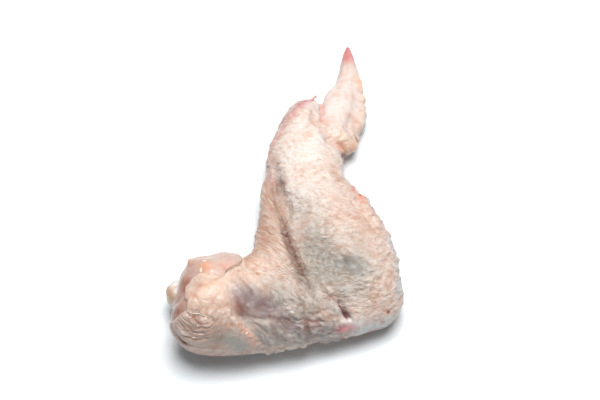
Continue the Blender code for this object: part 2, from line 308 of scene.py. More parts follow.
def pull(obj, pulls, held=None):
    """Draws parts of a piece aside: for each a line, the shift in millimetres and its width."""
    points, _ = surface_of(obj)
    drawn = points.copy()
    for line, shift, width in pulls:
        drawn += np.array(shift) * near(points, line, width)[:, None]
    if held is not None:
        drawn[held] = points[held]
    drawn[:, 2] = np.where(points[:, 2] < RESTING_HEIGHT, points[:, 2], drawn[:, 2])
    move_points(obj, drawn)


def soften(obj, places, rounds):
    """Smooths the surface round places and lines, each with its width."""
    points, _ = surface_of(obj)
    group = obj.vertex_groups.new(name="soft")
    weights = np.zeros(len(points))
    for line, width in places:
        weights = np.maximum(weights, near(points, line, width))
    for index in np.flatnonzero(weights > 0.1).tolist():
        group.add([index], float(weights[index]), "REPLACE")
    apply_modifier(obj, "SMOOTH", factor=0.5, iterations=rounds, vertex_group=group.name)
    obj.vertex_groups.clear()


def keep_value(obj, name, values):
    """Stores a number for each point, which the materials read by name."""
    attribute = obj.data.attributes.new(name, "FLOAT", "POINT")
    attribute.data.foreach_set("value", np.clip(values, -4, 4).astype(np.float32))


def keep_place(obj, name, places):
    """Stores a place in a pattern for each point, which the materials read by name."""
    attribute = obj.data.attributes.new(name, "FLOAT_VECTOR", "POINT")
    attribute.data.foreach_set("vector", places.astype(np.float32).ravel())


def step(values, low, high):
    """0 below low, 1 above high, and smooth between them."""
    share = np.clip((values - low) / (high - low), 0, 1)
    return share * share * (3 - 2 * share)


def cloud(points, size, seed=0):
    """Smooth noise from about -1 to 1, which changes over the given size or three sizes in millimetres."""
    scaled = points / size + seed * 13.7
    return np.array([noise.noise(Vector(p)) for p in scaled])


def cells(points, size, seed=0):
    """How near each point is to the middle of its cell: 1 at the middle, falling to 0 at the border."""
    scaled = points / size + seed * 7.3
    gaps = np.array([noise.voronoi(Vector(p))[0][:2] for p in scaled])
    return (gaps[:, 1] - gaps[:, 0]) / (gaps[:, 1] + gaps[:, 0] + 1e-6)


def mounds(points, size, seed=0):
    """Rounded mounds of about the given size, parted by thin creases: 1 on top, 0 in a crease."""
    return np.clip(np.abs(cloud(points, size, seed)) / 0.45, 0, 1) ** 0.75


def near(points, line, width):
    """1 on a point or a line, fading out over the width. A line of 2-D points is seen from above."""
    line = np.array(line, float)
    places = points[:, : line.shape[1]]
    if len(line) == 1:
        distance = np.linalg.norm(places - line[0], axis=1)
    else:
        distance = np.full(len(points), 1e9)
        for start, end in zip(line[:-1], line[1:]):
            distance = np.minimum(distance, gap_to(places, start, end))
    return np.exp(-((distance / width) ** 2))


def side_of(points, line):
    """Millimetres from a line seen from above, positive on its right-hand side going from first to last."""
    line = np.array(line, float)
    best = np.full(len(points), 1e9)
    side = np.zeros(len(points))
    for start, end in zip(line[:-1], line[1:]):
        span = end - start
        away = points[:, :2] - start
        gap = gap_to(points[:, :2], start, end)
        turn = away[:, 1] * span[0] - away[:, 0] * span[1]
        closer = gap < best
        best = np.where(closer, gap, best)
        side = np.where(closer, np.sign(turn) * gap, side)
    return side


# Materials

def add_node(tree, kind, links=None, **settings):
    """Adds a shader node. Settings are its properties, and links give each input a value or a socket."""
    made = tree.nodes.new(kind)
    for key, value in settings.items():
        setattr(made, key, value)
    for key, value in (links or {}).items():
        socket = made.inputs[key]
        if isinstance(value, bpy.types.NodeSocket):
            tree.links.new(value, socket)
        else:
            socket.default_value = value
    return made


def new_material(name):
    material = bpy.data.materials.new(name)
    material.use_nodes = True
    tree = material.node_tree
    return material, tree, tree.nodes["Principled BSDF"]


def stored(tree, name, kind="Fac"):
    """What was stored with each point under a name: a number, or with another kind its Color or Vector."""
    return add_node(tree, "ShaderNodeAttribute", attribute_name=name).outputs[kind]


def object_place(tree):
    return add_node(tree, "ShaderNodeTexCoord").outputs["Object"]


def tinted(tree, under, over, share, blend="MIX"):
    """The colour under, covered by (or multiplied with) the colour over where share is 1."""
    links = {0: share, 6: under, 7: over}
    return add_node(tree, "ShaderNodeMix", data_type="RGBA", blend_type=blend, links=links).outputs[2]


def mottled(tree, place, size, detail=3.0, roughness=0.5):
    """Cloudy noise whose blotches are about size millimetres across."""
    links = {"Vector": place, "Scale": 1 / (size * MM), "Detail": detail, "Roughness": roughness}
    return add_node(tree, "ShaderNodeTexNoise", links=links).outputs["Fac"]


def ranged(tree, value, low, high, to_low=0.0, to_high=1.0):
    links = {"Value": value, "From Min": low, "From Max": high, "To Min": to_low, "To Max": to_high}
    return add_node(tree, "ShaderNodeMapRange", links=links).outputs["Result"]


def pitted(tree, place, size):
    """Rising from the middles of cells that are size millimetres across."""
    links = {"Vector": place, "Scale": 1 / (size * MM)}
    return add_node(tree, "ShaderNodeTexVoronoi", links=links).outputs["Distance"]


def bumped(tree, height, strength, depth, invert=False, **under):
    """The normals of a relief that is depth millimetres deep, over those that under gives, if any."""
    links = {"Height": height, "Strength": strength, "Distance": depth * MM, **under}
    return add_node(tree, "ShaderNodeBump", invert=invert, links=links).outputs[0]


def blended(tree, first, second, share):
    """The first number where share is 0, the second where it is 1."""
    return add_node(tree, "ShaderNodeMix", links={0: share, 2: first, 3: second}).outputs[0]


def multiplied(tree, a, b):
    return add_node(tree, "ShaderNodeMath", operation="MULTIPLY", links={0: a, 1: b}).outputs[0]


def make_fleshy(shader, scatter, radius, depth, coat, coat_roughness):
    """Wet flesh: light scatters in it, to a depth in millimetres, and a film of juice coats it."""
    shader.inputs["IOR"].default_value = 1.4
    shader.inputs["Subsurface Weight"].default_value = scatter
    shader.inputs["Subsurface Radius"].default_value = radius
    shader.inputs["Subsurface Scale"].default_value = depth * MM
    shader.inputs["Coat Weight"].default_value = coat
    shader.inputs["Coat Roughness"].default_value = coat_roughness


def raw_skin():
    """Raw poultry skin: thin, moist and translucent, cream-pink where taut, with painted peach shade in its
    folds and grooves and painted highlights on its crests.
    """
    material, tree, shader = new_material("raw_skin")
    place = object_place(tree)
    blotch = mottled(tree, place, 9.0)
    fine = mottled(tree, place, 2.2, detail=4.0)

    # The small wrinkles follow the big folds: their place in the pattern is stored with each point.
    links = {"Vector": stored(tree, "folds", "Vector"), "Scale": 1.7, "Detail": 2.0, "Roughness": 0.55}
    drawn_out = add_node(tree, "ShaderNodeTexNoise", links=links).outputs["Fac"]
    wrinkles = blended(tree, mottled(tree, place, 1.6, detail=2.0), drawn_out, stored(tree, "ordered"))
    rough = stored(tree, "rough")

    skin = stored(tree, "tint", "Color")
    skin = tinted(tree, skin, colour("#EFD8CC"), ranged(tree, blotch, 0.5, 0.64, 0.0, 0.6), "MULTIPLY")
    # Painted shade: the skin is darkened to peach in the grooves of its relief.
    painted_groove_shade = multiplied(tree, stored(tree, "painted_groove_shade"), ranged(tree, blotch, 0.4, 0.6, 0.15, 0.6))
    skin = tinted(tree, skin, colour("#DDB49E"), painted_groove_shade, "MULTIPLY")
    # Painted shade in the low spots of the fine wrinkles, and a painted highlight on their high spots.
    painted_wrinkle_shade = multiplied(tree, rough, ranged(tree, wrinkles, 0.46, 0.3, 0.0, 0.45))
    skin = tinted(tree, skin, colour("#DDB7A3"), painted_wrinkle_shade, "MULTIPLY")
    painted_wrinkle_highlight = multiplied(tree, rough, ranged(tree, wrinkles, 0.55, 0.75, 0.0, 0.25))
    skin = tinted(tree, skin, colour("#FFF8F0"), painted_wrinkle_highlight)
    # Painted highlight: the crests of the relief are whitened.
    painted_crest_highlight = multiplied(tree, stored(tree, "painted_crest_highlight"), ranged(tree, fine, 0.35, 0.6, 0.0, 0.32))
    skin = tinted(tree, skin, colour("#FFF8F0"), painted_crest_highlight)
    skin = tinted(tree, skin, colour("#EBC8B5"), ranged(tree, fine, 0.54, 0.72, 0.0, 0.45), "MULTIPLY")
    tree.links.new(skin, shader.inputs["Base Color"])

    pores = bumped(tree, pitted(tree, place, 1.1), 0.2, 0.12)
    follicle_strength = multiplied(tree, rough, ranged(tree, blotch, 0.35, 0.6, 0.1, 0.3))
    follicles = bumped(tree, pitted(tree, place, 1.9), follicle_strength, 0.6, invert=True, Normal=pores)
    wrinkle_strength = multiplied(tree, rough, ranged(tree, blotch, 0.65, 0.4, 0.45, 0.75))
    relief = bumped(tree, wrinkles, wrinkle_strength, 1.4, Normal=follicles)
    tree.links.new(relief, shader.inputs["Normal"])
    tree.links.new(ranged(tree, fine, 0.3, 0.7, 0.34, 0.52), shader.inputs["Roughness"])
    make_fleshy(shader, 0.18, (1.0, 0.45, 0.3), 1.4, coat=0.12, coat_roughness=0.25)
    return material


def raw_muscle():
    """Raw shoulder muscle under its membrane: wet and translucent, pale pink, deeper in its folds."""
    material, tree, shader = new_material("raw_muscle")
    place = object_place(tree)
    links = {"Vector": place, "Scale": (0.3, 1.0, 1.0), "Rotation": (0.0, 0.2, 0.5)}
    fibre_place = add_node(tree, "ShaderNodeMapping", links=links).outputs[0]
    fibres = mottled(tree, fibre_place, 1.4, detail=2.0)
    blotch = mottled(tree, place, 3.0)
    meat = stored(tree, "tint", "Color")
    meat = tinted(tree, meat, colour("#C58F80"), ranged(tree, blotch, 0.5, 0.7, 0.0, 0.4))
    meat = tinted(tree, meat, colour("#E9D3C8"), ranged(tree, fibres, 0.5, 0.75, 0.0, 0.25))
    tree.links.new(meat, shader.inputs["Base Color"])
    tree.links.new(bumped(tree, fibres, 0.3, 0.25), shader.inputs["Normal"])
    shader.inputs["Roughness"].default_value = 0.34
    make_fleshy(shader, 0.4, (1.0, 0.35, 0.25), 3.0, coat=0.5, coat_roughness=0.12)
    return material


def wet_cartilage():
    """The gristly cap of the arm bone: pearly and wet, tan where the shaft shows through."""
    material, tree, shader = new_material("wet_cartilage")
    place = object_place(tree)
    blotch = mottled(tree, place, 3.5)
    bone = stored(tree, "tint", "Color")
    bone = tinted(tree, bone, colour("#CDA88C"), ranged(tree, blotch, 0.48, 0.68, 0.0, 0.7))
    bone = tinted(tree, bone, colour("#C98F80"), ranged(tree, mottled(tree, place, 1.3), 0.6, 0.75, 0.0, 0.5))
    tree.links.new(bone, shader.inputs["Base Color"])
    tree.links.new(bumped(tree, mottled(tree, place, 1.0), 0.4, 0.3), shader.inputs["Normal"])
    shader.inputs["Roughness"].default_value = 0.3
    make_fleshy(shader, 0.3, (1.0, 0.7, 0.5), 1.5, coat=0.4, coat_roughness=0.1)
    return material


# The skin

# The directions along and across the forearm, seen from above
ALONG_FOREARM = np.subtract(WRIST, ELBOW) / np.linalg.norm(np.subtract(WRIST, ELBOW))
ACROSS_FOREARM = np.array([ALONG_FOREARM[1], -ALONG_FOREARM[0]])

# The wrinkles of the web curve round this point, and the folds of the shoulder round the other.
WEB_WRINKLES_MIDDLE = (15.0, 9.4)
SHOULDER_FOLDS_MIDDLE = (-31.5, -63.5, 32.5)

# A long dark wrinkle low on the drumette, in millimetres
DRUMETTE_LINE = [
    (-16.5, -63.8, 30.0), (-11.7, -64.8, 28.7), (-6.5, -64.7, 27.4), (-3.1, -64.4, 26.4), (2.1, -64.1, 25.4),
]

# The colours of the skin, with some patches of painted shade. Each patch has its colour, a line in
# millimetres, its width and its strength.
SKIN_BASE = "#DCC4B6"
SKIN_PATCHES = [
    # The forearm and the hand
    ("#F3E5DC", [(5, 8, 23), (10, 20, 20), (4, -6, 24)], 13.0, 0.9),
    ("#F0E0D9", [(12, 36, 13), (20, 36, 14), (24, 52, 10)], 9.0, 0.9),
    ("#CDC5BB", [(7, -14, 23), (10, -24, 24)], 7.0, 0.7),
    # The grey of the skin low on the forearm, deepened with painted shade.
    ("#98938A", [(12, -34, 25.5), (17, -41, 26), (11, -44, 25)], 8.5, 0.85),
    ("#908F88", [(20, -50, 24), (26, -51, 24)], 6.5, 0.6),
    ("#B5ADA3", [(27, -33, 26), (32, -44, 25)], 6.0, 0.45),
    ("#85847C", [(23.5, -41.0, 26.9), (28, -43, 26.8)], 4.2, 0.9),
    ("#706962", [(20.6, -40.0, 26.8), (23.8, -38.8, 27.2), (28.2, -39.4, 27.5)], 1.2, 0.6),
    # The drumette
    ("#847F7A", [(-3, -58, 29), (8, -60, 27)], 8.0, 0.7),
    # The grey of the drumette's lower front, deepened with painted shade.
    ("#8F8984", [(-5, -66, 22), (5, -67, 20), (18, -66, 15)], 7.0, 0.8),
    ("#B79C92", [(-12, -70, 14), (-24, -71, 10), (-38, -66, 12)], 6.0, 0.6),
    ("#CCBEB2", [(-8.4, -51.7, 31.7), (-4, -50.5, 29)], 3.5, 0.5),
    ("#756464", [(-15, -57, 33), (-12.1, -58.4, 32.2), (-8.3, -60, 31.1)], 5.0, 0.93),
    ("#765F5E", [(-15, -61, 31.5), (-10, -61.5, 30.5)], 3.6, 0.6),
    ("#905E58", [(-17.2, -61.3, 31.4)], 2.8, 0.6),
    ("#8B7074", [(-4, -64, 28), (6, -67, 22), (15, -64, 19)], 3.0, 0.5),
    ("#7B5D57", DRUMETTE_LINE[:3] + DRUMETTE_LINE[4:], 0.9, 0.6),
    ("#9F6C5F", [(9.6, -63.9, 23.2), (12, -63.5, 22.5)], 1.8, 0.5),
    # The web
    ("#BD937C", [(-15, -39, 27), (-9, -28, 22), (-8, -16, 18)], 7.0, 0.85),
    ("#BE9F8D", [(-8, -12, 17), (-7, 2, 16)], 6.0, 0.7),
    ("#939494", [(17, -56.5, 24.3), (19.2, -59.0, 22.6)], 1.8, 0.6),
    ("#E7C6B2", [(-14, -46, 30), (-7, -44, 26), (-18, -44, 31)], 5.0, 0.7),
    # Painted shade in the crease between the web and the forearm: brown on the web's side of it and a thin
    # dark line in it.
    ("#977B6C", [(-4.5, -1.9), (-2.9, -11.8), (-1.6, -15.7), (-0.2, -24.1)], 1.9, 0.65),
    ("#7C5B4A", [(0.0, -24.1), (2.7, -32.1), (5.2, -39.5), (7.2, -47.0)], 1.9, 0.8),
    ("#654537", WEB_CREASE[3:9], 0.6, 0.5),
    ("#8C7570", [(-2.4, -0.4, 18.1), (-0.8, -2.9, 20.0)], 2.2, 0.7),
    ("#A8655C", [(-7.1, 7.0, 15.6), (-5.5, 2.8, 16.5), (-4.6, 0.5, 16.6)], 1.1, 0.6),
    # The shoulder end
    ("#E9C9B4", [(-27, -53, 34), (-31, -57, 34)], 7.0, 0.85),
    ("#D7A58A", [(-20, -48, 32.5), (-15, -50, 31)], 3.0, 0.5),
    ("#BA9D8F", [(-36, -66, 28), (-30, -70, 25), (-25, -69, 27)], 6.0, 0.75),
    ("#A97B66", [(-34.6, -67.0, 29.6), (-32.0, -68.6, 28.8), (-29.0, -69.0, 29.0)], 3.2, 0.4),
    ("#8A4A3A", [(-34.2, -65.9, 31.0)], 1.0, 0.6),
    ("#8A4A3A", [(-31.9, -67.6, 30.0), (-31.0, -67.9, 29.8)], 1.0, 0.6),
    ("#94553F", [(-29.1, -69.0, 29.0)], 1.1, 0.6),
    ("#8C7165", [(-41.4, -66.6, 19.4), (-40.3, -68.2, 18.6), (-37.9, -70.6, 18.4)], 2.0, 0.6),
    ("#A5A49C", [(-24.0, -71.5, 25.0), (-20.7, -71.5, 23.8), (-16.5, -72.1, 18.6)], 3.6, 0.75),
    ("#DB9B7F", [(-17.2, -68.3, 28.8), (-14.6, -69.4, 26.7), (-13.0, -69.8, 24.3),
                 (-11.3, -71.5, 19.4)], 1.1, 0.65),
    # The edges and the tip
    ("#F5C4A2", [(30, 53, 7), (31.5, 49, 7)], 2.6, 0.8),
    ("#FBE4D0", [(32, 45, 7), (32, 37, 8), (30, 30, 10)], 2.6, 0.5),
    ("#FFDCC4", [(26.6, 21.9, 9.0), (23.0, 22.0, 13.0)], 3.8, 0.8),
    ("#EFB08D", [(26.8, 21.0, 10.2), (27.8, 20.0, 9.3)], 2.2, 0.75),
    ("#E9A083", [(27, -5, 22), (29, -9, 22), (31.4, -11.7, 22)], 1.8, 0.85),
    ("#F0AF90", [(29.2, -6.5, 20.5), (31.2, -10.0, 20.0)], 1.5, 0.7),
    ("#B04438", [(25.9, -3.6, 20.6), (27.4, -5.4, 20.6), (28.9, -8.2, 21.8)], 0.8, 0.85),
    ("#EBBFA8", [(32, -14.4, 22.8), (36, -20, 21), (39, -25, 19)], 2.4, 0.45),
    ("#CBD4D6", [(41, -28, 18), (43, -38, 17), (43, -47, 18)], 3.4, 0.75),
    ("#DD7B7D", [(25.6, 73, 3), (25.4, 66, 6)], 4.4, 0.95),
    ("#D98A88", [(-7, 13, 14), (-3, 21, 17), (2, 29, 19), (8, 37, 17)], 2.2, 0.5),
    ("#C97F88", [(-1.3, 29.4, 15), (1.1, 31.3, 17), (3.5, 33.2, 18), (5.5, 36, 17.4),
                 (7.3, 38.8, 15.7)], 1.3, 0.6),
    ("#D8727A", [(6.5, 37.5, 16.5), (9.4, 39.3, 15.3)], 1.4, 0.5),
    ("#B9A3A4", [(-6, 3, 16), (-5, 10, 16)], 2.5, 0.4),
    ("#E9B79B", [(22.5, 19.5, 12), (25, 20.5, 11)], 2.6, 0.5),
    # The dark red hollow between the lobe and the forearm, darkened with painted shade.
    ("#7A2A20", [(22.5, 13.9, 13.6), (23.3, 15.5, 12.3), (24.0, 16.2, 11.2)], 1.7, 0.95),
    # Painted shade in the notch at the lobe's edge.
    ("#8E5346", [(28.6, 24.8, 10.0)], 1.0, 0.8),
    ("#D69D94", [(14.3, 40.9, 10.5), (14.8, 35.2, 12.8), (14.4, 30.0, 15.8)], 1.3, 0.6),
    # The elbow
    ("#EEE6E5", [(26.5, -61.4, 18.6), (29.2, -61.8, 18.2)], 2.4, 0.6),
    ("#FBF1EC", [(21.6, -61.9, 19.7), (24.0, -61.3, 19.0)], 1.1, 0.9),
    ("#DF828E", [(20.6, -63.8, 17.1), (22.8, -63.8, 16.8), (25.2, -63.0, 15.5)], 1.7, 0.8),
    ("#5E2534", [(20.7, -56.0, 22.7), (22.2, -57.8, 21.0), (23.8, -60.0, 19.6)], 1.1, 0.97),
    ("#D4D9DA", [(30, -64, 12), (38, -60, 11)], 5.0, 0.8),
    ("#8E3A2E", [(39.2, -56.6, 17.2)], 1.0, 1.0),
    ("#CF8F88", [(18.1, -54.2, 24.1)], 1.0, 0.5),
]

# Where the skin is drawn aside from its plain form: a line, the shift and its width in millimetres.
SKIN_PULLS = [
    ([(-13.7, -30.7)], (2.6, -0.6, 0), 7.0),
    ([(-19.5, -43.5)], (2.4, -1.6, 0), 4.5),
    ([(-8.2, 6.6)], (1.6, 0, 0), 5.0),
    ([(-11.0, -8.0)], (0.6, 0, 0), 6.0),
    ([(-5.2, 19.1)], (-1.4, 0, 0), 4.5),
    ([(28.5, 2.9)], (-3.8, 0, 0), 7.0),
    ([(22.5, 15.5)], (-0.4, 2.4, 0), 4.0),
    ([(30.5, 28.5)], (-1.8, 0, 0), 3.5),
    ([(16.3, 46.0)], (-1.3, 0, 0), 5.0),
    ([(13.1, 39.2)], (0, 1.7, 0.4), 3.5),
    ([(29.0, -7.0)], (-1.2, 0, 0), 3.5),
    ([(21.7, 15.0, 11.0)], (2.8, 0, 0), 2.6),
    ([(2.2, -20.0), (3.6, -27.0), (6.0, -35.0), (9.0, -43.0)], (-1.7, -0.3, 0), 3.5),
]

# Where the plain form is smoothed before it is wrinkled: a line and its width in millimetres.
SOFTENED = [
    ([(19.0, 23.0, 15.0)], 4.5),
    ([(22.5, 24.5, 14.0)], 3.5),
    ([(26.0, 46.0, 10.0)], 3.0),
    ([(25.5, 36.0, 11.5)], 3.0),
    ([(12.0, 39.0, 13.5), (12.5, 33.0, 15.0)], 2.6),
    (WEB_CREASE[1:10], 2.4),
]

# Where the skin swells: a point, and the height and the width of the swelling in millimetres.
SWELLINGS = [
    ((12.3, 38.0, 13.2), 1.5, 2.6),
    ((12.6, 33.5, 14.6), 1.2, 2.4),
    ((30.4, 53.0, 7.5), 0.9, 2.2),
    ((32.0, 45.0, 7.5), 0.5, 2.4),
    ((32.2, 38.0, 8.0), 0.6, 2.0),
    ((30.0, 31.0, 10.0), 0.5, 1.8),
    ((26.6, 20.9, 9.0), 1.4, 2.6),
    ((4.0, -55.9, 28.9), 0.5, 3.0),
    ((-28.0, -53.0, 34.0), 0.6, 5.0),
    ((-17.0, -45.0, 33.0), 0.6, 3.5),
    ((23.0, -61.8, 19.3), 0.5, 1.2),
    ((40.2, -24.0, 17.8), 0.8, 1.2),
    ((43.4, -35.0, 18.7), 0.8, 1.2),
    ((44.0, -42.0, 18.0), 0.5, 1.4),
    ((-6.3, -70.6, 9.7), 0.7, 1.5),
    ((-3.3, -69.2, 9.0), 0.9, 1.4),
    ((-0.8, -69.4, 10.6), 0.5, 1.0),
    ((2.0, -68.2, 9.6), 0.9, 1.5),
    ((4.8, -68.3, 10.8), 0.8, 1.2),
    ((7.4, -68.1, 11.5), 0.7, 1.4),
]

# Where the skin is stretched smooth: a line and its width in millimetres.
SMOOTH_PLACES = [
    ([(22.0, -41.0, 26.8), (27.5, -42.5, 26.8)], 3.6),
    ([(-24.0, -71.5, 25.0), (-20.7, -71.5, 23.8), (-16.5, -72.1, 18.6)], 4.2),
    ([(24.0, -62.0, 18.5), (29.0, -62.0, 18.0)], 2.6),
    ([(21.0, -56.5, 22.0), (23.5, -60.0, 19.5)], 1.6),
    ([(-15.0, -58.2, 33.0), (-9.0, -60.0, 31.0)], 6.0),
]

# Where the small wrinkles are rougher or finer: a line, its width in millimetres, and the change.
ROUGHER = [
    ([(6.0, 12.0, 21.0), (12.0, 26.0, 17.0)], 12.0, -0.35),
    ([(-13.0, -58.0, 32.5)], 7.0, -0.7),
    ([(-8.0, -10.0, 17.0), (-7.0, 2.0, 16.0)], 6.0, -0.4),
    ([(14.0, -42.0, 26.0), (30.0, -46.0, 25.0)], 10.0, 0.15),
    ([(-2.0, -61.0, 29.0), (10.0, -62.0, 25.0)], 8.0, 0.1),
    ([(0.0, -32.0, 22.0), (2.0, -46.0, 26.0)], 7.0, 0.2),
]


def forearm_height(points):
    """Short overlapping ridges over the feather follicles, in rows that fan upwards near the outer edge."""
    away = points[:, :2] - np.array(ELBOW)
    along, across = away @ ALONG_FOREARM, away @ ACROSS_FOREARM + 5.0
    rows = along + 0.28 * across - 0.014 * across**2 - 0.0005 * across**3
    rows += 1.3 * cloud(points, 7.0, 1) + 0.5 * cloud(points, 2.6, 2)
    place = np.stack([across / 4.2, rows / 2.3, points[:, 2] / 4.2], axis=1)
    bumps = cells(place, 1.0, 1)
    ridges = mounds(place, 1.5, 3)
    fine = mounds(place, 0.75, 4)
    rough = 0.9 + 0.6 * cloud(points, 8.0, 5)
    return (0.32 * bumps**0.8 + 0.38 * ridges) * rough + 0.22 * fine, place


def web_height(points):
    """The fine wrinkles of the loose web, which curve round the middle of the forearm."""
    distance = np.linalg.norm(points[:, :2] - WEB_WRINKLES_MIDDLE, axis=1)
    turn = np.arctan2(points[:, 1] - WEB_WRINKLES_MIDDLE[1], points[:, 0] - WEB_WRINKLES_MIDDLE[0])
    waves = distance + 1.5 * cloud(points, 9.0, 11) + 0.5 * cloud(points, 3.0, 12)
    place = np.stack([waves / 1.9, turn * distance / 5.5, points[:, 2] / 12.0], axis=1)
    lines = mounds(place, 1.0, 13)
    bumps = mounds(place, 2.0, 14)
    return 0.42 * lines + 0.3 * bumps, place


def drumette_height(points):
    """Soft low mounds over the drumette, drawn out into long wrinkles low on its side."""
    round_it = 15.0 * np.arctan2(points[:, 2] - 10.0, points[:, 1] + 54.0)
    tilt = math.radians(-24)
    long = points[:, 0] * math.cos(tilt) - round_it * math.sin(tilt)
    short = round_it * math.cos(tilt) + points[:, 0] * math.sin(tilt)
    short += 1.2 * cloud(points, 6.0, 21) + 0.5 * cloud(points, 2.6, 24)
    place = np.stack([long / 4.6, short / 2.4, np.zeros(len(points))], axis=1)
    bumps = cells(place, 1.0, 21)
    soft = mounds(place, 1.6, 22)
    fine = mounds(place, 0.75, 23)
    return 0.45 * bumps + 0.5 * soft + 0.28 * fine, place


def shoulder_height(points):
    """Loose skin over the shoulder end, in curved folds round its lowest point."""
    distance = np.linalg.norm((points - SHOULDER_FOLDS_MIDDLE) * (1.0, 1.0, 1.25), axis=1)
    turn = np.arctan2(points[:, 2] - SHOULDER_FOLDS_MIDDLE[2], points[:, 0] - SHOULDER_FOLDS_MIDDLE[0])
    waves = distance + 1.6 * cloud(points, 6.0, 31) + 0.5 * cloud(points, 2.5, 34)
    place = np.stack([waves / 1.9, turn * 1.3, points[:, 1] / 12.0], axis=1)
    folds = mounds(place, 1.0, 32)
    ring = (1 - step(distance, 12.0, 20.0)) * step(-points[:, 1], 62.0, 66.0)
    soft = mounds(points + 1.5 * cloud(points, 5.0, 36)[:, None], np.array([6.5, 6.5, 4.6]), 33)
    return 0.42 * folds * ring + 0.3 * soft, place


# Creases in the skin: the line, its depth and its width in millimetres. Negative depths are ridges.
CREASES = [
    # The web and the drumette
    (WEB_CREASE[1:12], 0.5, 1.8),
    ([(20.7, -55.6, 22.8), (22.2, -57.6, 21.2), (23.9, -60.2, 19.6)], 1.6, 0.9),
    (DRUMETTE_LINE, 0.45, 0.8),
    ([(4.1, -65.0, 24.3), (12, -65.6, 20.5), (19.1, -65.2, 16.0)], 0.35, 1.0),
    ([(-18.4, -62.8, 30.8), (-15.0, -66.0, 28.8), (-11.6, -68.9, 24.5), (-8.5, -70.6, 19.0),
      (-6.9, -71.4, 12.0)], 0.7, 1.1),
    ([(-20.5, -64.5, 30.5), (-16.5, -68.0, 27.5), (-13.2, -70.6, 22.5), (-11.5, -71.4, 17.0)], -0.3, 1.5),
    # The shoulder
    ([(-36.0, -64.4, 31.0), (-32.5, -65.4, 31.0), (-29, -66.0, 30.6), (-25.7, -67.3, 29.6)], 0.5, 0.8),
    ([(-37.8, -68.9, 25.1), (-33.5, -70.5, 26.3), (-29.2, -70.5, 26.9), (-26.3, -69.5, 28.2)], 0.35, 0.6),
    ([(-40, -68.8, 21.9), (-35.6, -71.4, 23.3), (-30.7, -71.9, 24.5), (-24.9, -70.6, 26.6),
      (-21.2, -68.1, 29.1), (-20.3, -65.7, 31.2)], 0.4, 0.6),
    ([(-41.9, -66.3, 20.9), (-40.3, -68.6, 20.2), (-37.9, -71.0, 20.0), (-35.0, -72.4, 19.6)], 0.9, 0.8),
    # The forearm's outer edge
    ([(24.6, -1.0, 20.2), (25.9, -3.6, 20.6), (27.4, -5.4, 20.6), (28.9, -8.2, 21.8),
      (30.6, -10.4, 22.1)], 0.8, 0.7),
    ([(29.8, -10.0, 22.1), (31.4, -11.7, 22.0), (33.2, -18.2, 23.2), (35.1, -20.7, 23.0),
      (37.0, -22.9, 22.3)], -0.8, 1.1),
    ([(26.3, -12.6, 25.0), (29.0, -17.2, 25.0), (30.8, -19.5, 24.8), (32.1, -21.7, 25.1),
      (35.2, -25.2, 24.1)], 0.6, 0.7),
    # The thumb, the wrist and the web's upper end
    ([(14.3, 40.9, 10.5), (14.8, 35.2, 12.8), (14.4, 30.0, 15.8), (12.6, 25.1, 19.1)], 0.8, 1.0),
    ([(22.4, 14.6, 13.6), (23.3, 15.7, 12.4), (23.8, 16.0, 11.4)], 1.0, 0.9),
    ([(28.6, 25.2, 11.0), (29.6, 24.0, 8.0)], 1.4, 0.9),
    ([(-7.1, 7.0, 15.6), (-5.5, 2.8, 16.5), (-4.3, -1.9, 16.7), (-2.5, -11.8, 18.1)], 0.6, 1.0),
    ([(-2.4, -0.4, 18.1), (-0.8, -2.9, 20.0)], 0.5, 1.2),
    ([(-1.7, -13.2, 18), (-0.1, -14.1, 18), (1.5, -15.9, 18.8), (2.3, -15.7, 19.3),
      (1.1, -13.5, 18.6)], 0.6, 0.5),
]

# The sunken oval on the forearm, which is pressed into its upper side only
OVAL_DIMPLE = ([(23.0, -41.0, 26.8), (27.0, -42.0, 26.8)], 0.8, 3.2)


def paint(obj, base, patches, points):
    """Stores a colour for each point: the base, with each patch laid over it with a ragged outline."""
    drift = np.stack([cloud(points, 5.0, seed) for seed in (51, 52, 53)], axis=1)
    shade = np.tile(colour(base), (len(points), 1))
    for code, line, width, strength in patches:
        ragged = points + 0.4 * min(width, 5.0) * drift
        share = strength * near(ragged, line, width)
        shade += share[:, None] * (np.array(colour(code)) - shade)
    attribute = obj.data.attributes.new("tint", "FLOAT_COLOR", "POINT")
    attribute.data.foreach_set("color", shade.astype(np.float32).ravel())


def bare_share(points):
    """1 where the skin is sunk below the muscle's surface to leave it bare, 0 where it isn't."""
    within = inside(flat_view(points), flat_view(np.array(BARE_STRIP)))
    return step(within, -0.1, 0.6) * step(points[:, 2], 7.0, 11.0)


def tongue_lift(depth):
    return min(TONGUE_TOP, TONGUE_EDGE + TONGUE_SLOPE * depth)


def skin_with_cut_edge():
    """The skin's solid, with its edge over the shoulder muscle shaped as the knife left it."""
    obj = copy_of_node("skin", "wing_skin")
    merge_into(obj, draped("tongue", SKIN_TONGUE, solid_tree("meat"), tongue_lift, TONGUE_THICKNESS))
    refine(obj, SKIN_VOXEL, rounds=14)
    muscle = solid_tree("meat")
    points, normals = surface_of(obj)
    lining = over_muscle(points, normals, muscle)[1]
    thin_where(obj, lining | (normals[:, 2] < -0.25), SKIN_TRIANGLES)
    points, _ = surface_of(obj)
    move_points(obj, points - TO_CAMERA * SUNK_DEPTH * bare_share(points)[:, None])
    return obj


def skin_regions(points):
    """How much each point belongs to the forearm, the web, the drumette, the shoulder and the hand."""
    forearm = step(side_of(points, WEB_CREASE), -1.0, 1.5)
    low = step(-points[:, 1] + 3.0 * cloud(points, 7.0, 71), 35.0, 50.0)
    end = step(-points[:, 0] + 2.0 * cloud(points, 7.0, 72), 13.0, 24.0)
    hand = forearm * step(points[:, 1], 22.0, 32.0) * step(points[:, 0], 12.0, 15.0)
    web = (1 - forearm) * (1 - low)
    drumette = (1 - forearm) * low * (1 - end)
    shoulder = (1 - forearm) * low * end
    return forearm - hand, web, drumette, shoulder, hand


